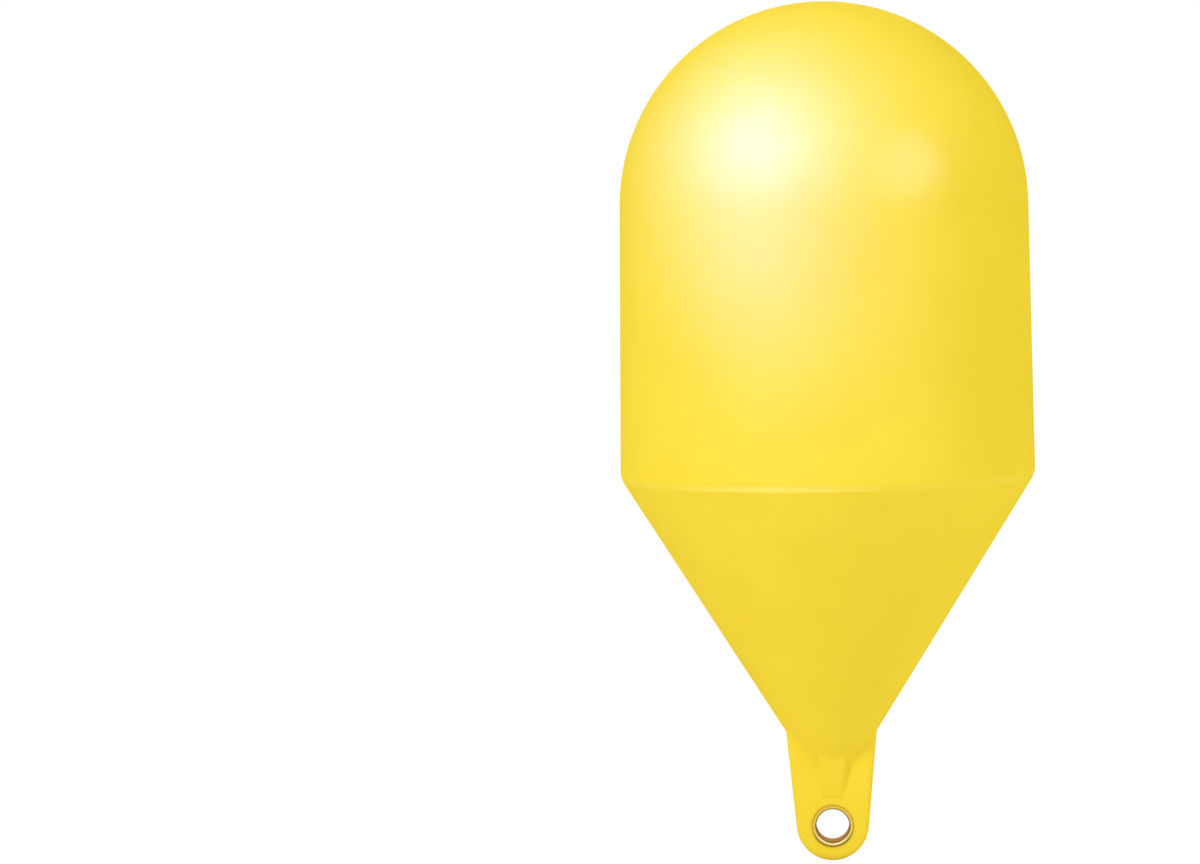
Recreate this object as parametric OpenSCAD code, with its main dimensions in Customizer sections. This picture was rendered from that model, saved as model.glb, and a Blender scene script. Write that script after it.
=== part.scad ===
// Navigation marker buoy: a moulded float with a bushed mooring eye in a flat lug.
// The origin is on the buoy's axis at its working waterline, +Z is up and the eye runs along Y.

/* [Float] */
// Diameter of the float at its widest level, just above the shoulder
float_d = 400; // [300:5:500]
// Height of the barrel, from the widest level up to the centre of the dome
barrel_h = 252.5; // [120:0.5:400]
// Draft of the barrel, in degrees, narrower towards the dome
barrel_draft = 0.7; // [0:0.1:2]
// Radius of the rounded shoulder between barrel and cone
shoulder_r = 22; // [12:1:40]
// Half-angle of the cone, in degrees
cone_half_angle = 32.2; // [29:0.2:37]
// Height of the waterline above the widest level, with the mooring hung on
waterline_up = 32; // [0:2:100]

/* [Mooring lug] */
// Distance from where the cone runs out on the lug's face down to the eye's centre
eye_below_cone = 50.5; // [46:0.5:80]
// Thickness of the lug
lug_t = 36; // [28:1:50]
// Radius of the lug's round end
lug_end_r = 35; // [32:1:45]
// Height of the round end's centre above the eye's centre
lug_end_up = 1; // [0:0.5:5]
// Taper of each flank of the lug, in degrees, wider towards the cone
lug_taper = 5.5; // [0:0.1:10]
// Radius of the lug's rounded edges
lug_edge_r = 6; // [3:0.5:9]

/* [Gussets] */
// Height of a gusset's foot above the eye's centre
gusset_foot_up = 29; // [26:1:40]
// Slope of a gusset's outer face, in degrees from upright
gusset_slope = 14; // [8:1:22]
// Width of a gusset where it runs out of the cone
gusset_top_w = 25; // [18:1:32]
// Width of a gusset at its foot on the lug
gusset_foot_w = 19; // [14:1:26]
// Draft of a gusset's sides, in degrees, wider towards the lug
gusset_draft = 12; // [4:1:20]
// Radius of a gusset's rounded corners
gusset_edge_r = 3; // [1.5:0.5:5]

/* [Eye bush] */
// Bore of the bush, for the pin of the shackle
bush_bore = 32; // [20:0.5:36]
// Wall of the bush
bush_wall = 3.6; // [2.4:0.2:5]
// Height by which each end of the bush stands out of the lug
bush_stand = 0.8; // [0:0.1:3]
// Radius of the bush's rounded mouths
mouth_r = 1.4; // [0.5:0.1:2]
// Height of the retaining collar that the plastic grips
collar_h = 2.5; // [1:0.5:4]
// Width of the retaining collar
collar_w = 8; // [4:1:14]

/* [Vent plug] */
// Depth of the plug's centre below the widest level
plug_drop = 80; // [50:2:130]
// Diameter of the plug's head
plug_head_d = 30; // [24:1:40]
// Thickness of the plug's head, which is sunk flush in the cone
plug_head_t = 4; // [3:0.5:7]
// Clearance round the plug's head in its recess
plug_gap = 1; // [0.5:0.1:2]
// Diameter of the plug's stem
plug_stem_d = 18; // [12:1:22]
// Length of the plug's stem
plug_stem_l = 16; // [8:1:24]
// Length of the slot for a coin or a wide blade
plug_slot_l = 20; // [14:1:23]
// Width of the slot
plug_slot_w = 3; // [2:0.5:5]
// Depth of the slot
plug_slot_depth = 2; // [1:0.5:2.5]

/* [Hidden] */
$fn = 96;

// Levels of the float, measured from the waterline
widest_z = -waterline_up;
dome_z = widest_z + barrel_h;

// The shoulder is round, and its outermost point is the float's widest level.
// The barrel's line runs into it at the draft's angle, and the cone's at its half-angle.
// The dome's sphere has the radius that the barrel's line runs into.
shoulder_x = float_d / 2 - shoulder_r;
shoulder = [shoulder_x, widest_z];
dome_r = shoulder_x * cos(barrel_draft) - barrel_h * sin(barrel_draft) + shoulder_r;

// The straight lines lie this far inside the rounds that they run into, so that they cross them
lap = 0.02;
barrel_foot = shoulder + (shoulder_r - lap) * [cos(barrel_draft), sin(barrel_draft)];
cone_head = shoulder + (shoulder_r - lap) * [cos(cone_half_angle), -sin(cone_half_angle)];
barrel_head = [0, dome_z] + (dome_r - lap) * [cos(barrel_draft), sin(barrel_draft)];

// Level at which the cone has a given radius
function cone_z_at(r) = cone_head[1] - (cone_head[0] - r) / tan(cone_half_angle);

// Radius of the cone at a given level
function cone_r_at(z) = cone_head[0] - (cone_head[1] - z) * tan(cone_half_angle);

// Level at which the cone meets a line that is this far from the axis at this level
// and leans outwards, going up, by this angle
function cone_meets_z(line_r, line_z, lean) =
    (line_r - line_z * tan(lean) - cone_r_at(0)) / (tan(cone_half_angle) - tan(lean));

// The cone's tip is buried in the lug, where the cone is slimmer than the lug's flat core
cone_tip_r = lug_t / 2 - lug_edge_r;
cone_tip_z = cone_z_at(cone_tip_r);

// Levels of the lug
eye_z = cone_z_at(lug_t / 2) - eye_below_cone;
lug_end_z = eye_z + lug_end_up;

// The lug takes over from the float where its head is buried in the cone,
// half the lug's thickness above the level at which its flanks go in
lug_head_z = cone_meets_z(lug_end_r / cos(lug_taper), lug_end_z, lug_taper) + lug_t / 2;
lug_head_r = lug_end_r + (lug_head_z - lug_end_z) * sin(lug_taper);

// A gusset's outer face runs from its foot on the lug up to the cone, and on into it
gusset_foot_z = eye_z + gusset_foot_up;
gusset_top_z = cone_meets_z(lug_t / 2, gusset_foot_z, gusset_slope);
gusset_head_z = gusset_top_z + gusset_top_w / 2;

// The bush
bush_r = bush_bore / 2 + bush_wall;
bush_l = lug_t + 2 * bush_stand;

// The plug sits square on the back of the cone
plug_z = widest_z - plug_drop;

// Half of the float's outline above the lug, from the axis outwards
module float_outline() {
    polygon([
        [0, lug_head_z],
        [cone_r_at(lug_head_z), lug_head_z],
        cone_head,
        shoulder,
        barrel_foot,
        barrel_head,
        [0, barrel_head[1]]
    ]);
    translate(shoulder) circle(shoulder_r);
    intersection() {
        translate([0, dome_z]) circle(dome_r);
        translate([0, dome_z - dome_r]) square([dome_r, 2 * dome_r]);
    }
}

// Rounded rim of one face of the lug, on a disc of this radius at this level
module lug_rim(r, z, side) {
    translate([0, 0, z]) rotate([90, 0, 0])
        rotate_extrude($fn = 64)
            translate([r - lug_edge_r, side * (lug_t / 2 - lug_edge_r)])
                circle(lug_edge_r, $fn = 24);
}

// Plate of the lug, tapering from its head in the cone down to its round end
module lug_plate() {
    hull()
        for (side = [-1, 1]) {
            lug_rim(lug_head_r, lug_head_z, side);
            lug_rim(lug_end_r, lug_end_z, side);
        }
}

// One gusset, on the lug's front face, from its foot up into the cone
module gusset() {
    widening = (gusset_top_w - gusset_foot_w) / (gusset_top_z - gusset_foot_z);
    hull()
        for (side = [-1, 1], z = [gusset_foot_z, gusset_head_z]) {
            climb = z - gusset_foot_z;
            face_y = lug_t / 2 + climb * tan(gusset_slope) - gusset_edge_r;
            face_x = (gusset_foot_w + climb * widening) / 2 - gusset_edge_r;
            // corner of the outer face, and the root of that side in the lug's middle
            translate([side * face_x, -face_y, z]) sphere(gusset_edge_r, $fn = 24);
            translate([side * (face_x + face_y * tan(gusset_draft)), 0, z])
                sphere(gusset_edge_r, $fn = 24);
        }
}

// Puts its children on the eye's axis, with their +Z along the eye
module on_eye() {
    translate([0, 0, eye_z]) rotate([90, 0, 0]) children();
}

// Puts its children on the back of the cone, with their +Z square out of its surface
module on_cone_back() {
    translate([0, cone_r_at(plug_z), plug_z]) rotate([-90 - cone_half_angle, 0, 0]) children();
}

// Stem of the plug, from its end up to this level of the head
module plug_stem(top) {
    translate([0, 0, -plug_head_t - plug_stem_l])
        cylinder(h = plug_head_t + plug_stem_l + top, d = plug_stem_d);
}

// The moulded float: dome, barrel, shoulder and cone, with the plug's recess
module float_body() {
    color("gold")
        difference() {
            rotate_extrude() float_outline();
            on_cone_back() {
                translate([0, 0, -plug_head_t])
                    cylinder(h = 2 * plug_head_t, d = plug_head_d + 2 * plug_gap);
                plug_stem(0);
            }
        }
}

// The lower end of the moulding: the cone's tip with the lug, its gussets and the eye's hole
module mooring_lug() {
    color("gold")
        difference() {
            union() {
                translate([0, 0, cone_tip_z])
                    cylinder(h = lug_head_z - cone_tip_z, r1 = cone_tip_r, r2 = cone_r_at(lug_head_z));
                lug_plate();
                gusset();
                mirror([0, 1, 0]) gusset();
            }
            // the float sits on everything from the head's level up
            translate([0, 0, lug_head_z]) cylinder(h = 3 * lug_head_r, r = 2 * lug_head_r);
            on_eye() {
                cylinder(h = 2 * lug_t, r = bush_r, center = true);
                cylinder(h = collar_w, r = bush_r + collar_h, center = true);
            }
        }
}

// Corner that a mouth's rounding takes off the bush's section, at the inner top corner
module mouth_corner() {
    difference() {
        square(mouth_r);
        translate([mouth_r, 0]) circle(mouth_r);
    }
}

// The brass bush: a thick sleeve with rounded mouths and a collar in the middle
module eye_bush() {
    color("goldenrod")
        on_eye() rotate_extrude() {
            difference() {
                translate([bush_bore / 2, -bush_l / 2]) square([bush_wall, bush_l]);
                for (side = [0, 1])
                    mirror([0, side])
                        translate([bush_bore / 2, bush_l / 2 - mouth_r]) mouth_corner();
            }
            translate([bush_r, -collar_w / 2]) square([collar_h, collar_w]);
        }
}

// The slotted plug in the filling hole
module vent_plug() {
    color("gold")
        on_cone_back() difference() {
            union() {
                translate([0, 0, -plug_head_t]) cylinder(h = plug_head_t, d = plug_head_d);
                plug_stem(-plug_head_t / 2);
            }
            translate([-plug_slot_l / 2, -plug_slot_w / 2, -plug_slot_depth])
                cube([plug_slot_l, plug_slot_w, 2 * plug_slot_depth]);
        }
}

float_body();
mooring_lug();
eye_bush();
vent_plug();
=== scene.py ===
# %% [markdown]
# # A moulded marker buoy, finished in Blender
# The buoy is one yellow moulding: a dome on a barrel, a cone below it, and a flat lug at the
# tip with a brass bush for the mooring shackle. The CAD frame gives every solid its size and
# place. Blender adds what a mould adds, such as soft fillets, a parting line and a satin
# skin, and then lights it like a plain studio photograph.

from math import cos, pi, radians, sin, tan

import bmesh
import bpy
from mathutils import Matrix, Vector


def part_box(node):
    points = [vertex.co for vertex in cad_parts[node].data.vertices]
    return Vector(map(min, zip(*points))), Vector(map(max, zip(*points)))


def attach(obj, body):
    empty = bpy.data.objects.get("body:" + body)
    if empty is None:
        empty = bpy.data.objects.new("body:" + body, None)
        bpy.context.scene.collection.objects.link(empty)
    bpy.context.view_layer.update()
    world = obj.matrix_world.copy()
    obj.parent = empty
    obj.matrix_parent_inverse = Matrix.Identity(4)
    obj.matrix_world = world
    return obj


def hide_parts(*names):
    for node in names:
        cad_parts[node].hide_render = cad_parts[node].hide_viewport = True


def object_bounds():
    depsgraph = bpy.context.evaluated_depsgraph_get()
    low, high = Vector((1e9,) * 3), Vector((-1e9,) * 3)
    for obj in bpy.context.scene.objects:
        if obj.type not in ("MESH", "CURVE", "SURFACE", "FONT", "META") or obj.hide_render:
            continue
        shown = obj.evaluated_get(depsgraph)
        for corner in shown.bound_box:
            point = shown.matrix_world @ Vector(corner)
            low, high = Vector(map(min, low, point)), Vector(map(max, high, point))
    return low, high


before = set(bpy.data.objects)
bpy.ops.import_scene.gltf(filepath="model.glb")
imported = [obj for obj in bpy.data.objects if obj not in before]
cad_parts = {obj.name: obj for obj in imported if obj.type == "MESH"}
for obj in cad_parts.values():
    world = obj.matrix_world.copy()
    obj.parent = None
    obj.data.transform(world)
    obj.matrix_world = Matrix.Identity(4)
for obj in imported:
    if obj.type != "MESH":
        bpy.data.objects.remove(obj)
cad_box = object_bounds()

MM = 0.001


def corners(node):
    """The lowest and the highest corner of a solid."""
    low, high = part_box(node)
    return Vector(low), Vector(high)


for node in ("float_body", "mooring_lug", "eye_bush"):
    print(node, *corners(node))

# %% [markdown]
# ## The camera
# The photograph was taken from well back with a long lens, a little above the dome. A camera
# could be set by eye, but the edges of the buoy fix it better. It stands seven metres away,
# looks down by about three degrees and leans by one. The buoy stands to the right of the
# middle of the picture, and the lens keeps the photograph's whole frame.

# %% Camera
PICTURE_W = 1200
FOCAL_PIXELS = 7260.8
SENSOR_MM = 36
DOWN = 0.05778
LEAN = 0.01641
TURN = 0.03017

camera_data = bpy.data.cameras.new("camera")
camera_data.lens = FOCAL_PIXELS / PICTURE_W * SENSOR_MM
camera_data.sensor_width = SENSOR_MM
camera_data.clip_end = 60
camera = bpy.data.objects.new("camera", camera_data)
bpy.context.collection.objects.link(camera)
camera.location = (-0.0014, -7.0, 0.4105)
camera.rotation_euler = (pi / 2 - DOWN, LEAN, TURN)
bpy.context.scene.camera = camera
print("lens", camera_data.lens, "mm, camera at", *camera.location)

# %% [markdown]
# ## Sizes of the moulding
# A mould is drawn as an outline that is spun, so its few sizes say it all: the width at the
# shoulder, the barrel's draft, the cone's half-angle and the rounds between them. They repeat
# the CAD's own sizes, in metres. The skin stands a hair inside the solids.

# %% The outline's sizes
DRAFT = radians(0.7)
CONE = radians(32.2)
WIDEST_Z = -33.2 * MM
DOME_Z = 220.5 * MM
SHOULDER_R = 22 * MM
SKIN = 0.06 * MM
SHOULDER_X = 200 * MM - SHOULDER_R
DOME_R = SHOULDER_X * cos(DRAFT) - (DOME_Z - WIDEST_Z) * sin(DRAFT) + SHOULDER_R - SKIN
ROUND_R = SHOULDER_R - SKIN
CONE_TOP_R = SHOULDER_X + ROUND_R * cos(CONE)
CONE_TOP_Z = WIDEST_Z - ROUND_R * sin(CONE)
SEAM_Z = -262 * MM


def cone_r(z):
    """Radius of the cone at a level."""
    return CONE_TOP_R - (CONE_TOP_Z - z) * tan(CONE)


print("dome radius", DOME_R, "cone at its top", CONE_TOP_R, "cone at the seam", cone_r(SEAM_Z))

# %% [markdown]
# ## Working like a modeller
# Each operator acts on all that is selected, and the frame arrives selected, so a piece
# always starts from a clean slate. An outline is drawn as one would draw it by hand: from one
# point, by straight edges and arcs. A lathe then spins it and closes the seam and the poles.

# %% Helpers for drawing and spinning
def clean_slate():
    bpy.ops.object.select_all(action="DESELECT")


def settle(piece):
    """Puts the piece's place into its mesh, so that its object sits at the origin, unturned."""
    if bpy.context.mode != "OBJECT":
        bpy.ops.object.mode_set(mode="OBJECT")
    clean_slate()
    piece.select_set(True)
    bpy.context.view_layer.objects.active = piece
    bpy.ops.object.transform_apply(location=True, rotation=True, scale=True)


def first_point(name, place):
    """A new mesh that is one point: a plane, merged to its centre."""
    clean_slate()
    bpy.ops.mesh.primitive_plane_add(size=MM, location=place)
    piece = bpy.context.object
    piece.name = name
    piece.data.name = name
    settle(piece)
    bpy.ops.object.mode_set(mode="EDIT")
    bpy.ops.mesh.select_mode(type="VERT")
    bpy.ops.mesh.select_all(action="SELECT")
    bpy.ops.mesh.merge(type="CENTER")
    return piece


def draw_to(place):
    """Draws a straight edge from the selected point to a place, and leaves its end selected."""
    bm = bmesh.from_edit_mesh(bpy.context.edit_object.data)
    start = next(v.co.copy() for v in bm.verts if v.select)
    bpy.ops.mesh.extrude_region_move(TRANSFORM_OT_translate={"value": Vector(place) - start})


def draw_arc(centre, turn, steps, axis=(0, 1, 0)):
    """Draws an arc from the selected point round a centre, and leaves its end selected."""
    bpy.ops.mesh.spin(steps=steps, angle=-turn, center=centre, axis=axis)


def lathe(steps, centre=(0, 0, 0), axis=(0, 0, 1)):
    """Spins the whole outline once round an axis and closes the seam."""
    bpy.ops.mesh.select_all(action="SELECT")
    bpy.ops.mesh.spin(steps=steps, angle=2 * pi, center=centre, axis=axis)
    bpy.ops.mesh.select_all(action="SELECT")
    bpy.ops.mesh.remove_doubles(threshold=0.005 * MM)
    bpy.ops.mesh.normals_make_consistent(inside=False)
    bpy.ops.object.mode_set(mode="OBJECT")


def report(piece):
    piece.data.calc_loop_triangles()
    points = len(piece.data.vertices)
    print(piece.name, points, "points", len(piece.data.loop_triangles), "triangles")


# %% [markdown]
# ## The dome, barrel and cone
# On the real buoy this is the round part of the moulding. It could be pieced together from a
# sphere, a cylinder and a cone, but those meet in hard lines. One outline, drawn in one go
# from the top of the dome, flows through: an arc, the long side of the barrel with its slight
# draft, the tight shoulder round, and the cone down to a level just above the lug.

# %% Draw and spin the outline
DOME_STEPS = 48
BARREL_STEPS = 8
ROUND_STEPS = 28
CONE_STEPS = 6
CONE_END_Z = SEAM_Z + 2 * MM

float_skin = first_point("float_moulding", (0, 0, DOME_Z + DOME_R))
draw_arc((0, 0, DOME_Z), pi / 2 - DRAFT, DOME_STEPS)
barrel_top = Vector((DOME_R * cos(DRAFT), 0, DOME_Z + DOME_R * sin(DRAFT)))
barrel_foot = Vector((SHOULDER_X + ROUND_R * cos(DRAFT), 0, WIDEST_Z + ROUND_R * sin(DRAFT)))
for step in range(1, BARREL_STEPS + 1):
    draw_to(barrel_top.lerp(barrel_foot, step / BARREL_STEPS))
draw_arc((SHOULDER_X, 0, WIDEST_Z), DRAFT + CONE, ROUND_STEPS)
for step in range(1, CONE_STEPS + 1):
    z = CONE_TOP_Z + (CONE_END_Z - CONE_TOP_Z) * step / CONE_STEPS
    draw_to((cone_r(z), 0, z))
lathe(192)
report(float_skin)

# %% [markdown]
# ## The parting line
# The two halves of the mould meet on the shoulder, under the widest level. Their edges do
# not meet quite flush, which leaves a soft swelling all the way round, with a fine raised
# line along its middle. A bump in the material would not show in the outline, so the points
# themselves move: one ring is picked by its level and pushed out along its normals, first
# with its neighbours and then alone.

# %% Pick by place
def pick(mode, wanted):
    """In edit mode: selects the points, edges or faces for which wanted(place) is true."""
    bpy.ops.mesh.select_mode(type=mode)
    bpy.ops.mesh.select_all(action="DESELECT")
    bm = bmesh.from_edit_mesh(bpy.context.edit_object.data)
    found = {"VERT": bm.verts, "EDGE": bm.edges, "FACE": bm.faces}[mode]
    count = 0
    for part in found:
        if mode == "VERT":
            chosen = wanted(part.co)
        elif mode == "EDGE":
            chosen = wanted(part.verts[0].co) and wanted(part.verts[1].co)
        else:
            chosen = wanted(part.calc_center_median())
        if chosen:
            part.select_set(True)
            count += 1
    bm.select_flush_mode()
    bmesh.update_edit_mesh(bpy.context.edit_object.data)
    return count


# %% Raise the parting line
PARTING_STEP = 18
PARTING = PARTING_STEP * ((DRAFT + CONE) / ROUND_STEPS) - DRAFT
PARTING_Z = WIDEST_Z - ROUND_R * sin(PARTING)
SWELLING = 0.25 * MM
SWELLING_REACH = 3 * MM
LINE = 0.12 * MM

bpy.ops.object.mode_set(mode="EDIT")
ring = pick("VERT", lambda p: abs(p.z - PARTING_Z) < 0.05 * MM)
bpy.ops.transform.shrink_fatten(
    value=-SWELLING,
    use_proportional_edit=True,
    proportional_edit_falloff="SMOOTH",
    proportional_size=SWELLING_REACH,
)
bpy.ops.transform.shrink_fatten(value=-LINE)
bpy.ops.object.mode_set(mode="OBJECT")
print("parting line at", PARTING_Z, "points in the ring", ring)

# %% [markdown]
# ## The tip of the cone
# The lug grows out of the end of the cone, and the two flow into each other through a soft
# hollow. Modelling that hollow face by face is slow. It is easier to unite plain blocks, like
# the blocks of a wooden pattern, and to let a remesh and some smoothing round their corners.
# The first block is the cone's own tip, finer than the rest, from a little above the seam.

# %% Model the tip of the cone
TIP_R = 12 * MM
TIP_Z = CONE_TOP_Z - (CONE_TOP_R - TIP_R) / tan(CONE)
TOP_Z = SEAM_Z + 14 * MM

clean_slate()
bpy.ops.mesh.primitive_cone_add(
    vertices=360,
    radius1=TIP_R,
    radius2=cone_r(TOP_Z),
    depth=TOP_Z - TIP_Z,
    location=(0, 0, (TOP_Z + TIP_Z) / 2),
)
lug_skin = bpy.context.object
lug_skin.name = "lug_skin"
settle(lug_skin)
report(lug_skin)

# %% [markdown]
# ## The plate
# The lug is a thick plate with a round end, and its flanks spread a little towards the cone.
# Half its outline is drawn and mirrored, as a drawing office would do it, so that both
# flanks are alike. The outline is filled and given its thickness, and then its front and
# back edges are rounded.

# %% Draw and thicken the plate
BUSH_LOW, BUSH_HIGH = corners("eye_bush")
EYE_Z = (BUSH_LOW.z + BUSH_HIGH.z) / 2
LUG_END_Z = EYE_Z + 1 * MM
LUG_END_R = 35 * MM
LUG_T = 36 * MM
LUG_TAPER = radians(5.5)
LUG_EDGE_R = 6 * MM
HEAD_Z = -270 * MM
SAME = 0.01 * MM


def modify(piece, kind, **settings):
    """Adds a modifier to a piece and applies it."""
    settle(piece)
    modifier = piece.modifiers.new(kind, kind)
    for name, value in settings.items():
        setattr(modifier, name, value)
    bpy.ops.object.modifier_apply(modifier=modifier.name)


plate = first_point("plate", (0, -LUG_T / 2, LUG_END_Z - LUG_END_R))
draw_arc((0, -LUG_T / 2, LUG_END_Z), -(pi / 2 - LUG_TAPER), 48)
flank = Vector((LUG_END_R * cos(LUG_TAPER), -LUG_T / 2, LUG_END_Z - LUG_END_R * sin(LUG_TAPER)))
climb = HEAD_Z - flank.z
draw_to((flank.x + climb * tan(LUG_TAPER), -LUG_T / 2, HEAD_Z))
draw_to((0, -LUG_T / 2, HEAD_Z))
bpy.ops.object.mode_set(mode="OBJECT")
modify(plate, "MIRROR", use_axis=(True, False, False), merge_threshold=SAME)
bpy.ops.object.mode_set(mode="EDIT")
bpy.ops.mesh.select_all(action="SELECT")
bpy.ops.mesh.remove_doubles(threshold=SAME)
bpy.ops.mesh.edge_face_add()
bpy.ops.mesh.extrude_region_move(TRANSFORM_OT_translate={"value": (0, LUG_T, 0)})
bpy.ops.mesh.select_all(action="SELECT")
bpy.ops.mesh.normals_make_consistent(inside=False)
for side in (-1, 1):
    pick("EDGE", lambda p: abs(p.y - side * LUG_T / 2) < SAME)
    bpy.ops.mesh.bevel(offset=LUG_EDGE_R, segments=8, profile=0.5, clamp_overlap=False)
bpy.ops.object.mode_set(mode="OBJECT")
report(plate)

# %% [markdown]
# ## One skin with soft fillets
# The plate is united with the tip. A voxel remesh covers both with one even skin, and
# smoothing that skin leaves the soft hollow fillets that a mould has. Bevels on the corner
# where they meet would need a clean edge loop, which a flat plate in a cone doesn't give.

# %% Unite and soften
VOXEL = 1.0 * MM


def combine(piece, other, how="UNION"):
    """Unites a piece with another or cuts the other out of it, and removes the other."""
    modify(piece, "BOOLEAN", object=other, operation=how, solver="EXACT")
    bpy.data.objects.remove(other)


def soften(piece, iterations):
    """Gives a piece one even skin and smooths it."""
    modify(piece, "REMESH", mode="VOXEL", voxel_size=VOXEL, adaptivity=0)
    modify(piece, "SMOOTH", factor=0.5, iterations=iterations)


combine(lug_skin, plate)
soften(lug_skin, 14)
report(lug_skin)

# %% [markdown]
# ## The gussets
# A stout gusset props the lug on each face. It leans back as it runs down, so that it dies
# away just above the bush, and its flanks are drafted to leave the mould. Each is a block
# whose corners are dragged to their places, with its outer edges broken. They join after the
# first smoothing and are smoothed much less, because their edges are crisper than the
# fillets round them.

# %% Add the gussets
GUSSET_FOOT_Z = EYE_Z + 27.5 * MM
GUSSET_HEAD_Z = -300.8 * MM
GUSSET_LIP = 1.0 * MM
GUSSET_FOOT_W = 18.5 * MM
GUSSET_SPREAD = 5.5 / 35.6
GUSSET_SLOPE = radians(13)
GUSSET_DRAFT = radians(12)
GUSSET_EDGE = 1.2 * MM


def gusset_corner(side, flank, level, outer):
    """A corner of a gusset, on its outer face or at its root in the middle of the plate."""
    rise = level - GUSSET_FOOT_Z
    out = LUG_T / 2 + GUSSET_LIP + rise * tan(GUSSET_SLOPE)
    half = (GUSSET_FOOT_W + rise * GUSSET_SPREAD) / 2
    if outer:
        return Vector((flank * half, side * out, level))
    return Vector((flank * (half + out * tan(GUSSET_DRAFT)), 0, level))


def drag_point(start, end):
    """Drags the point at one place to another."""
    pick("VERT", lambda p: (p - start).length < SAME)
    bpy.ops.transform.translate(value=end - start)


for side in (-1, 1):
    clean_slate()
    bpy.ops.mesh.primitive_cube_add(size=2 * MM)
    gusset = bpy.context.object
    gusset.name = "gusset"
    bpy.ops.object.mode_set(mode="EDIT")
    for flank in (-1, 1):
        for outer, y in ((True, -1), (False, 1)):
            for level, z in ((GUSSET_FOOT_Z, -1), (GUSSET_HEAD_Z, 1)):
                drag_point(MM * Vector((flank, y, z)), gusset_corner(side, flank, level, outer))
    bpy.ops.mesh.select_all(action="SELECT")
    bpy.ops.mesh.normals_make_consistent(inside=False)
    pick("EDGE", lambda p: side * p.y > LUG_T / 2 - 1 * MM)
    bpy.ops.mesh.bevel(offset=GUSSET_EDGE, segments=4, profile=0.5)
    bpy.ops.object.mode_set(mode="OBJECT")
    combine(lug_skin, gusset)
soften(lug_skin, 3)
report(lug_skin)

# %% [markdown]
# ## Trimming at the seam
# The tip reaches above the lug only to keep the smoothing away from the rim. A level cut
# takes that part off and leaves one clean rim, a little below the end of the cone.

# %% Trim the lug
bpy.ops.object.mode_set(mode="EDIT")
bpy.ops.mesh.select_all(action="SELECT")
bpy.ops.mesh.bisect(
    plane_co=(0, 0, SEAM_Z),
    plane_no=(0, 0, 1),
    use_fill=False,
    clear_outer=True,
    clear_inner=False,
)
bpy.ops.object.mode_set(mode="OBJECT")
report(lug_skin)

# %% [markdown]
# ## One moulding
# The lug's skin and the cone are joined and their two rims bridged, so that the float is one
# closed skin with no seam, as it comes out of the mould. The rims are the only open edges, so
# Blender can find them itself.

# %% Join and bridge
def smooth(piece, angle):
    """Shades a piece smooth, but keeps the edges that are sharper than an angle."""
    settle(piece)
    bpy.ops.object.shade_smooth_by_angle(angle=radians(angle))


clean_slate()
lug_skin.select_set(True)
float_skin.select_set(True)
bpy.context.view_layer.objects.active = float_skin
bpy.ops.object.join()
bpy.ops.object.mode_set(mode="EDIT")
bpy.ops.mesh.select_mode(type="EDGE")
bpy.ops.mesh.select_all(action="DESELECT")
bpy.ops.mesh.select_non_manifold()
bpy.ops.mesh.bridge_edge_loops()
bpy.ops.mesh.select_all(action="SELECT")
bpy.ops.mesh.normals_make_consistent(inside=False)
bpy.ops.mesh.select_all(action="DESELECT")
bpy.ops.mesh.select_non_manifold()
bm = bmesh.from_edit_mesh(float_skin.data)
print("open edges", sum(e.select for e in bm.edges))
bpy.ops.object.mode_set(mode="OBJECT")
smooth(float_skin, 60)
report(float_skin)

# %% [markdown]
# ## The seat of the bush
# The bush is moulded in, so the plastic ends in a neat round rim on each face of the lug. A
# plain drill would leave that rim sharp. A spool, spun round the eye's axis, is cut out
# instead: straight in the middle, and flared at both ends, which leaves the fine chamfer
# that breaks the rim.

# %% Cut the seat
SEAT_R = 19.62 * MM
CHAMFER = 0.6 * MM
SPOOL_HALF = 24 * MM


def eye_point(r, y):
    """A place beside the eye's axis, at this radius and depth."""
    return Vector((r, y, EYE_Z))


flare = LUG_T / 2 - CHAMFER
flared_r = SEAT_R + SPOOL_HALF - flare
spool = first_point("spool", eye_point(0, -SPOOL_HALF))
draw_to(eye_point(flared_r, -SPOOL_HALF))
draw_to(eye_point(SEAT_R, -flare))
draw_to(eye_point(SEAT_R, flare))
draw_to(eye_point(flared_r, SPOOL_HALF))
draw_to(eye_point(0, SPOOL_HALF))
lathe(128, centre=(0, 0, EYE_Z), axis=(0, 1, 0))
combine(float_skin, spool, "DIFFERENCE")
report(float_skin)

# %% [markdown]
# ## The recess of the plug
# On the back of the cone a slotted plug closes the hole through which the float was filled.
# It sits in a shallow recess with a flared rim. The tool that cuts it is spun lying flat,
# where its sizes are easy to give, and then turned square to the cone.

# %% Cut the recess
PLUG_Z = WIDEST_Z - 80 * MM
PLUG_R = 15 * MM
PLUG_T = 4 * MM
RECESS_R = PLUG_R + 1 * MM
RECESS_RIM = 1.1 * MM
FLARE = 8 * MM


def onto_cone_back(piece):
    """Turns a piece that lies flat at the origin square to the back of the cone."""
    settle(piece)
    piece.rotation_euler = (-pi / 2 - CONE, 0, 0)
    piece.location = (0, cone_r(PLUG_Z), PLUG_Z)
    settle(piece)


recess = first_point("recess", (0, 0, -PLUG_T))
draw_to((RECESS_R, 0, -PLUG_T))
draw_to((RECESS_R, 0, -RECESS_RIM))
draw_to((RECESS_R + FLARE, 0, FLARE - RECESS_RIM))
draw_to((0, 0, FLARE - RECESS_RIM))
lathe(96)
onto_cone_back(recess)
combine(float_skin, recess, "DIFFERENCE")
smooth(float_skin, 28)
report(float_skin)

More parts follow.
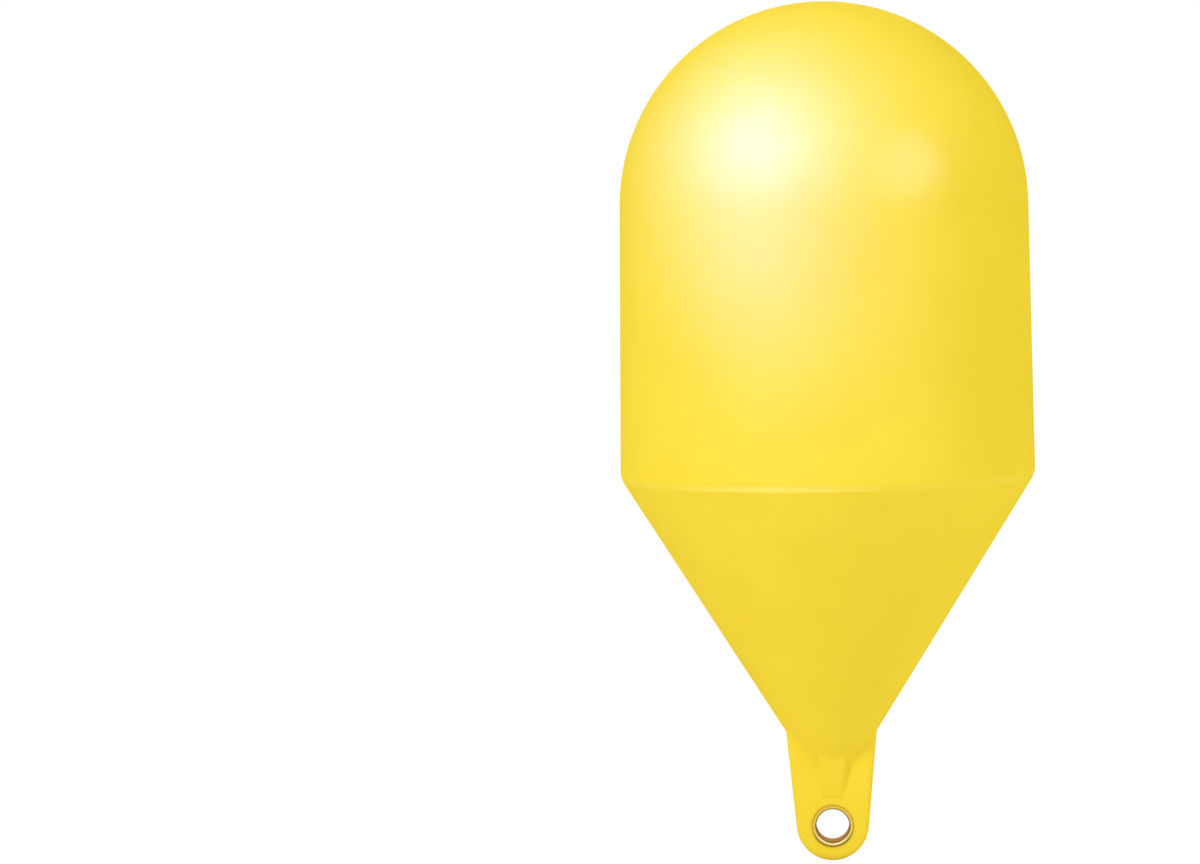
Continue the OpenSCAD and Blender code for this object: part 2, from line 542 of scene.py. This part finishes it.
# %% [markdown]
# ## The plug
# The plug is a disc with a rounded edge and a face turned down inside a narrow rim. Its slot
# has round ends, as a milling cutter leaves them, so a small block with rounded corners is
# cut out of the disc. It too is made lying flat and is turned with the disc.

# %% Model the plug
PLUG_EDGE = 0.9 * MM
PLUG_RIM = 2.2 * MM
PLUG_STEP = 0.5 * MM
PLUG_SUNK = 0.4 * MM
SLOT_L = 20 * MM
SLOT_W = 3 * MM
SLOT_D = 4 * MM


def pick_upright_edges():
    """In edit mode: selects the edges that run up and down."""
    bpy.ops.mesh.select_mode(type="EDGE")
    bpy.ops.mesh.select_all(action="DESELECT")
    bm = bmesh.from_edit_mesh(bpy.context.edit_object.data)
    for edge in bm.edges:
        edge.select_set(abs(edge.verts[0].co.z - edge.verts[1].co.z) > 1 * MM)
    bmesh.update_edit_mesh(bpy.context.edit_object.data)


clean_slate()
bpy.ops.mesh.primitive_cylinder_add(
    vertices=96, radius=PLUG_R, depth=PLUG_T, location=(0, 0, -PLUG_T / 2)
)
plug = bpy.context.object
plug.name = "filler_plug"
settle(plug)
bpy.ops.object.mode_set(mode="EDIT")
pick("EDGE", lambda p: p.z > -0.1 * MM)
bpy.ops.mesh.bevel(offset=PLUG_EDGE, segments=5, profile=0.5)
pick("FACE", lambda p: p.z > -SAME)
bpy.ops.mesh.inset(thickness=PLUG_RIM)
bpy.ops.mesh.inset(thickness=PLUG_STEP, depth=-PLUG_SUNK)
bpy.ops.object.mode_set(mode="OBJECT")

clean_slate()
bpy.ops.mesh.primitive_cube_add(size=1, scale=(SLOT_L, SLOT_W, SLOT_D))
slot = bpy.context.object
slot.name = "slot"
settle(slot)
bpy.ops.object.mode_set(mode="EDIT")
pick_upright_edges()
bpy.ops.mesh.bevel(offset=SLOT_W / 2 - 0.05 * MM, segments=8, profile=0.5)
bpy.ops.object.mode_set(mode="OBJECT")
combine(plug, slot, "DIFFERENCE")
onto_cone_back(plug)
smooth(plug, 30)
report(plug)

# %% [markdown]
# ## The brass bush
# The bush is a thick brass sleeve, a little prouder than the plastic. Its mouths are rounded
# generously, so that the shackle's pin finds its way in, and the outer edge is only just
# broken. Bevels on the ends of a pipe would round both its edges alike, so the section is
# drawn beside the eye's axis instead, one half after the other, and spun round it.

# %% Draw and spin the bush
BORE_R = 16 * MM
BUSH_R = 19.6 * MM
BUSH_HALF = (BUSH_HIGH.y - BUSH_LOW.y) / 2
MOUTH_R = 2.7 * MM
EDGE_R = 0.35 * MM

bush = first_point("eye_bush_brass", eye_point(BORE_R, 0))
for side in (-1, 1):
    pick("VERT", lambda p: (p - eye_point(BORE_R, 0)).length < 0.1 * SAME)
    mouth_y = side * (BUSH_HALF - MOUTH_R)
    edge_y = side * (BUSH_HALF - EDGE_R)
    quarter = side * pi / 2
    draw_to(eye_point(BORE_R, mouth_y / 2))
    draw_to(eye_point(BORE_R, mouth_y))
    draw_arc(eye_point(BORE_R + MOUTH_R, mouth_y), quarter, 10, axis=(0, 0, -1))
    draw_to(eye_point(BUSH_R - EDGE_R, side * BUSH_HALF))
    draw_arc(eye_point(BUSH_R - EDGE_R, edge_y), quarter, 4, axis=(0, 0, -1))
    draw_to(eye_point(BUSH_R, 0))
lathe(128, centre=(0, 0, EYE_Z), axis=(0, 1, 0))
smooth(bush, 40)
report(bush)

# %% [markdown]
# ## Finishes as sums
# A finish can be wired by hand in the node editor, but in code it is easier to read as a sum
# than as a web of boxes. A value here is one output of a node, and adding or multiplying
# values adds the Math nodes.

# %% Values
class Value:
    """One output of a node. Sums and products of values add Math nodes beside it."""

    def __init__(self, nodes, socket):
        self.nodes = nodes
        self.socket = socket

    def maths(self, operation, first, second=0.0):
        return self.nodes.add("ShaderNodeMath", {0: first, 1: second}, operation=operation)

    def __add__(self, other):
        return self.maths("ADD", self, other)

    def __sub__(self, other):
        return self.maths("SUBTRACT", self, other)

    def __rsub__(self, other):
        return self.maths("SUBTRACT", other, self)

    def __mul__(self, other):
        return self.maths("MULTIPLY", self, other)

    def __truediv__(self, other):
        return self.maths("DIVIDE", self, other)

    def __abs__(self):
        return self.maths("ABSOLUTE", self)

    __radd__ = __add__
    __rmul__ = __mul__

    def sine(self):
        return self.maths("SINE", self)

    def or_larger(self, other):
        return self.maths("MAXIMUM", self, other)

    def rises(self, low, high):
        """0 below low, 1 above high, and straight between them."""
        share = (self - low) / (high - low)
        return self.nodes.add("ShaderNodeClamp", {"Value": share})

    def near(self, middle, reach):
        """1 at the middle, falling to 0 this far from it."""
        return 1 - abs(self - middle).rises(0, reach)


# %% [markdown]
# ## One way to add a node
# Every other node comes from one method, which takes its settings first and then what goes
# into its sockets. A new material or world starts with one shader and one output, and those
# are kept and filled.

# %% Nodes
MIX_SHARE = 0
MIX_COLOURS = (6, 7)
MIXED_COLOUR = 2


class Nodes:
    """The nodes of a material or of the world."""

    def __init__(self, owner):
        owner.use_nodes = True
        self.tree = owner.node_tree
        self.shader = next(node for node in self.tree.nodes if node.outputs)
        self.output = next(node for node in self.tree.nodes if not node.outputs)

    def add(self, kind, inputs, output=0, **settings):
        """Adds a node, sets it up, fills its sockets, and gives back one of its outputs."""
        node = self.tree.nodes.new(kind)
        for name, value in settings.items():
            setattr(node, name, value)
        for name, value in inputs.items():
            self.feed(node.inputs[name], value)
        return Value(self, node.outputs[output])

    def feed(self, socket, value):
        if isinstance(value, Value):
            self.tree.links.new(value.socket, socket)
        else:
            socket.default_value = value

    def finish(self, **inputs):
        """Fills sockets of the first shader. An underscore stands for a space."""
        for name, value in inputs.items():
            self.feed(self.shader.inputs[name.replace("_", " ")], value)
        return Value(self, self.shader.outputs[0])

    def show(self, shader):
        """Makes another shader the one that is seen."""
        self.feed(self.output.inputs["Surface"], shader)

    def place(self):
        return self.add("ShaderNodeTexCoord", {}, output="Object")

    def along(self, letter, place):
        """One coordinate of a place: X, Y or Z."""
        return self.add("ShaderNodeSeparateXYZ", {"Vector": place}, output=letter)

    def grain(self, place, scale, detail=2.0):
        """Soft noise, about this many patches to the metre."""
        return self.add("ShaderNodeTexNoise", {"Vector": place, "Scale": scale, "Detail": detail})

    def blend(self, share, first, second):
        """A mix of two colours. The node has sockets of other kinds before the colours'."""
        inputs = {MIX_SHARE: share, MIX_COLOURS[0]: first, MIX_COLOURS[1]: second}
        return self.add("ShaderNodeMix", inputs, output=MIXED_COLOUR, data_type="RGBA")

    def mix_shaders(self, share, first, second):
        return self.add("ShaderNodeMixShader", {0: share, 1: first, 2: second})

    def bump(self, height, depth):
        inputs = {"Height": height, "Distance": depth, "Strength": 1.0}
        return self.add("ShaderNodeBump", inputs, output="Normal")


def new_material(name, piece):
    material = bpy.data.materials.new(name)
    piece.data.materials.clear()
    piece.data.materials.append(material)
    return Nodes(material)


# %% [markdown]
# ## Distance from the eye
# The bush and the plastic round it change with the distance from the eye's axis. The axis
# runs front to back, so the distance leaves the depth out: the place is measured from the
# eye, flattened, and its length is taken.

# %% Measure from the eye
def from_eye(nodes, place):
    """Distance of a place from the eye's axis."""
    offset = nodes.add("ShaderNodeVectorMath", {0: place, 1: (0, 0, EYE_Z)}, operation="SUBTRACT")
    flat = nodes.add("ShaderNodeVectorMath", {0: offset, 1: (1, 0, 1)}, operation="MULTIPLY")
    return nodes.add("ShaderNodeVectorMath", {0: flat}, output="Value", operation="LENGTH")


def below_eye(nodes, place):
    """0 at the level of the eye and above, 1 at the foot of the bush."""
    return (EYE_Z - nodes.along("Z", place)).rises(4 * MM, 14 * MM)


# %% [markdown]
# ## Yellow polyethylene
# The float is coloured right through, so it has no paint. What makes it look like moulded
# polyethylene is small: broad clouds in the pigment, a satin gloss that varies a little from
# patch to patch, and a very shallow peel from the wall of the mould. The parting line is a
# touch paler where its flash was scraped, and a painted highlight makes it palest a little left
# of the middle, where the glow's shine crosses it. Round the bush the plastic is deepened by
# painted shade, with a painted gap shadow just outside it, darkest below it.
#
# An ordinary gloss turns pale at the rims of a round body, and the real plastic hardly does.
# So the shine is a thin, very rough coat of a high index, which changes little with the
# angle.

# %% The float's finish
YELLOW = (0.946, 0.716, 0.0315, 1)
DEEP_YELLOW = (0.921, 0.687, 0.0255, 1)
# pale colour of the scraped flash, which also serves as the parting line's painted highlight
SCRAPED_AND_HIGHLIGHT = (1.0, 0.84, 0.15, 1)
# colour of the painted shade round the bush
SHADE_OCHRE = (0.66, 0.42, 0.035, 1)
# colour of the painted gap shadow below the bush
GAP_SHADOW_BROWN = (0.25, 0.18, 0.03, 1)
SATIN = 0.67
COAT = 0.07
HIGHLIGHT_X = -52 * MM
PEEL_DEPTH = 0.03 * MM

skin = new_material("yellow_polyethylene", float_skin)
place = skin.place()
clouds = skin.grain(place, 9, 3.0).rises(0.35, 0.65)
colour = skin.blend(clouds, YELLOW, DEEP_YELLOW)
line = skin.along("Z", place).near(PARTING_Z + 0.5 * MM, 4.2 * MM)
# painted highlight: the parting line is palest a little left of the middle, where the glow's
# shine falls; the faint rest all round is scraped flash
scrape_and_painted_highlight = 0.15 + 0.85 * skin.along("X", place).near(HIGHLIGHT_X, 100 * MM)
colour = skin.blend(line * scrape_and_painted_highlight, colour, SCRAPED_AND_HIGHLIGHT)
# painted shade: the plastic just round the bush is deepened towards ochre
shade_round_bush = 1 - from_eye(skin, place).rises(BUSH_R, BUSH_R + 3.5 * MM)
colour = skin.blend(shade_round_bush * 0.45, colour, SHADE_OCHRE)
# painted shadow: a brown ring just outside the bush, only below the eye
gap_shadow_ring = from_eye(skin, place).near(BUSH_R + 0.7 * MM, 1.2 * MM)
colour = skin.blend(gap_shadow_ring * below_eye(skin, place) * 0.7, colour, GAP_SHADOW_BROWN)
patches = skin.grain(place, 45)
peel = skin.grain(place, 190) + 0.3 * skin.grain(place, 1300)
skin.finish(
    Base_Color=colour,
    Roughness=SATIN + 0.06 * patches,
    Specular_IOR_Level=0.0,
    Coat_Weight=COAT + 0.02 * patches,
    Coat_Roughness=0.69,
    Coat_IOR=4.0,
    Normal=skin.bump(peel, PEEL_DEPTH),
)
print("yellow polyethylene:", len(skin.tree.nodes), "nodes")

# %% [markdown]
# ## The plug's plastic
# The plug is turned from a harder plastic of the same colour. Its face is a little smoother
# and deeper, with the fine rings of the lathe. The rings are a sine of the distance from the
# plug's centre. A distance is the same in every direction, so the slope of the cone, on which
# the plug lies, needn't be allowed for.

# %% The plug's finish
RING_PITCH = 0.45 * MM
RING_DEPTH = 0.006 * MM

turned = new_material("turned_yellow_plastic", plug)
place = turned.place()
inputs = {0: place, 1: (0, cone_r(PLUG_Z), PLUG_Z)}
to_plug = turned.add("ShaderNodeVectorMath", inputs, output="Value", operation="DISTANCE")
rings = (to_plug * (2 * pi / RING_PITCH)).sine()
turned.finish(
    Base_Color=turned.blend(turned.grain(place, 60), YELLOW, DEEP_YELLOW),
    Roughness=0.42 + 0.06 * turned.grain(place, 300),
    Specular_IOR_Level=0.35,
    Normal=turned.bump(rings + 0.5 * turned.grain(place, 1500), RING_DEPTH),
)
print("turned plastic:", len(turned.tree.nodes), "nodes")

# %% [markdown]
# ## Brass
# The mouth of the bush is clean, pale brass, and a painted highlight makes it palest at its foot.
# Inside the bore the metal has gone a copper brown. A painted shade darkens it in a ring where
# the mouth begins, most at the top, and a painted shadow darkens the outer edge against the
# plastic, most at its foot. All of it follows the distance from the eye's axis, so no picture
# has to be wrapped round the sleeve. Fine rings from the lathe run round it.

# %% The bush's finish
BRASS = (0.90, 0.60, 0.09, 1)
# colour of the painted highlight
HIGHLIGHT_CREAM = (1.0, 0.88, 0.54, 1)
COPPER_BROWN = (0.72, 0.40, 0.12, 1)
# tarnish for the stains, and also the colour of the painted shade and shadow below
TARNISH_AND_SHADE = (0.18, 0.11, 0.03, 1)
TOOL_PITCH = 0.5 * MM
TOOL_DEPTH = 0.004 * MM

metal = new_material("brass", bush)
place = metal.place()
r = from_eye(metal, place)
below = below_eye(metal, place)
stains = metal.grain(place, 350, 3.0)
mouth = (r + 0.5 * MM * stains).rises(BORE_R + 0.6 * MM, BORE_R + 1.3 * MM)
colour = metal.blend(mouth, COPPER_BROWN, BRASS)
colour = metal.blend(stains * 0.2, colour, TARNISH_AND_SHADE)
# painted shade: a dark ring where the mouth begins, strongest at the top
painted_shade_ring = r.near(BORE_R + 0.4 * MM, 1.0 * MM)
colour = metal.blend(painted_shade_ring * (0.95 - 0.4 * below), colour, TARNISH_AND_SHADE)
# painted highlight: a pale cream crescent at the foot of the mouth
painted_highlight = below * r.near(BORE_R + 1.3 * MM, 1.3 * MM)
colour = metal.blend(painted_highlight, colour, HIGHLIGHT_CREAM)
# painted shadow: the outer edge is darkened against the plastic, most at the foot
painted_edge_shadow = r.rises(BUSH_R - 0.9 * MM, BUSH_R - 0.2 * MM)
colour = metal.blend(painted_edge_shadow * (0.06 + 0.88 * below), colour, TARNISH_AND_SHADE)
tool_marks = ((metal.along("Y", place) + r) * (2 * pi / TOOL_PITCH)).sine()
metal.finish(
    Base_Color=colour,
    Metallic=1.0,
    Specular_Tint=(0.85, 0.6, 0.35, 1),
    Roughness=0.42 - 0.14 * mouth + 0.1 * stains,
    Normal=metal.bump(tool_marks, TOOL_DEPTH),
)
print("brass:", len(metal.tree.nodes), "nodes")

# %% [markdown]
# ## The floor
# The buoy stands on its lug on a white floor, in front of white. To light a floor to white
# takes so much light that the yellow burns out. So the rays that show the background see a
# plain glow, mixed with a little of the lit floor near the lug, where the shadow is. All
# other rays see a pale matt floor, which sends soft light up under the cone.

# %% Floor
FLOOR_Z = cad_box[0][2] - 0.2 * MM
FLOOR_GREY = (0.87, 0.87, 0.87, 1)
FLOOR_GLOW = 1.05
SHADE = 0.12

clean_slate()
bpy.ops.mesh.primitive_plane_add(size=60, location=(0, 0, FLOOR_Z))
floor = bpy.context.object
floor.name = "floor"


def seen_directly(nodes):
    """1 for the rays that show the background: the camera's, mirrored and passing ones."""
    shows = nodes.add("ShaderNodeLightPath", {}, output="Is Camera Ray")
    for kind in ("Is Glossy Ray", "Is Transmission Ray"):
        shows = shows.or_larger(nodes.add("ShaderNodeLightPath", {}, output=kind))
    return shows


paint = new_material("white_floor", floor)
matt = paint.finish(Base_Color=FLOOR_GREY, Roughness=0.9, Specular_IOR_Level=0.0)
glow = paint.add("ShaderNodeEmission", {"Strength": FLOOR_GLOW}, output="Emission")
far = paint.add("ShaderNodeVectorMath", {0: paint.place()}, output="Value", operation="LENGTH")
share = 1 - SHADE * (1 - far.rises(0.7, 1.6))
paint.show(paint.mix_shaders(share * seen_directly(paint), matt, glow))
print("floor at", FLOOR_Z)

# %% [markdown]
# ## The light from all round
# A studio cove lights a thing evenly from every side. The world does the same: a plain, dim
# white for the light, and full white for the rays that show the background.

# %% World
AROUND = 0.51
WHITE = (1, 1, 1, 1)

world = bpy.data.worlds.new("studio")
bpy.context.scene.world = world
sky = Nodes(world)
fill = sky.finish(Color=WHITE, Strength=AROUND)
white = sky.add("ShaderNodeBackground", {"Color": WHITE, "Strength": 1.0})
sky.show(sky.mix_shaders(seen_directly(sky), fill, white))
print("light from all round", AROUND)

# %% [markdown]
# ## Soft lamps
# Wide round lamps add the rest of the even light, the strongest from the front left, so that
# the yellow shows about as it was mixed. They are hidden from mirrored rays, because the
# shine of each would lie on the satin skin like a veil.

# %% Soft lamps
def aim(made, place, target, soft=True, shine=True):
    """Puts a lamp in place. It may leave out the soft light or the shine."""
    bpy.context.collection.objects.link(made)
    made.location = place
    made.rotation_euler = (Vector(target) - Vector(place)).to_track_quat("-Z", "Y").to_euler()
    made.visible_diffuse = soft
    made.visible_glossy = shine


def soft_lamp(name, place, size, watts):
    """A wide round lamp that lights the buoy evenly and makes no shine."""
    data = bpy.data.lights.new(name, "AREA")
    data.shape = "DISK"
    data.size = size
    data.energy = watts
    aim(bpy.data.objects.new(name, data), place, (0, 0, 0.1), shine=False)
    print(name, watts, "W")


soft_lamp("right_lamp", (3.0, -0.8, 0.6), 1.5, 16)
soft_lamp("top_lamp", (0, -0.4, 3.0), 2.0, 17.5)
soft_lamp("front_left_lamp", (-2.0, -2.4, 1.6), 1.2, 48)
soft_lamp("front_right_lamp", (2.0, -2.4, 1.2), 1.2, 10.5)
soft_lamp("back_lamp", (0, 3.6, 1.2), 1.5, 34)

# %% [markdown]
# ## The shine
# What the satin skin mirrors is a broad pale glow high on the left and a dim one on the
# right. Spots with soft rims make them, because a spot lights only its own patch and leaves
# the rest of the dome alone: two overlap in the glow and its halo, a small one makes the dim
# one, and a narrow one gives the bush its gleam. The light of the first three is bluish,
# because a bluish shine on yellow plastic looks white. All of it is only seen mirrored.

# %% Spots
COOL = (0.12, 0.39, 1.0)
PALE = (0.35, 0.59, 1.0)
PLAIN = (1, 1, 1)


def spot_lamp(name, place, target, angle, watts, colour, size=0.03):
    """A spot with a soft rim, whose light is only seen mirrored in the buoy."""
    data = bpy.data.lights.new(name, "SPOT")
    data.color = colour
    data.energy = watts
    data.spot_size = radians(angle)
    data.spot_blend = 1.0
    data.shadow_soft_size = size
    aim(bpy.data.objects.new(name, data), place, target, soft=False)
    print(name, watts, "W over", angle, "degrees")


spot_lamp("glow_spot", (-0.495, -0.698, 0.705), (-0.059, -0.178, 0.281), 28, 360, COOL)
spot_lamp("halo_spot", (-0.726, -1.004, 0.837), (-0.063, -0.18, 0.278), 32.5, 215, COOL)
spot_lamp("dim_spot", (0.8175, -0.737, 0.6195), (0.084, -0.174, 0.263), 2.6, 360, PALE)
spot_lamp("bush_spot", (-0.35, -1.3, 0.75), (0, 0, EYE_Z), 8, 75, PLAIN, size=0.4)

# %% [markdown]
# ## Onto the frame
# Each piece moves with the buoy's one body and stands for the solids that it covers.

# %% Ride, replace and set the view
pieces = (
    (float_skin, "float_plastic", ("float_body", "mooring_lug")),
    (bush, "bush_brass", ("eye_bush",)),
    (plug, "plug_plastic", ("vent_plug",)),
)
for piece, finish, solids in pieces:
    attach(piece, "root")
    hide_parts(*solids)

bpy.context.scene.view_settings.view_transform = "Standard"
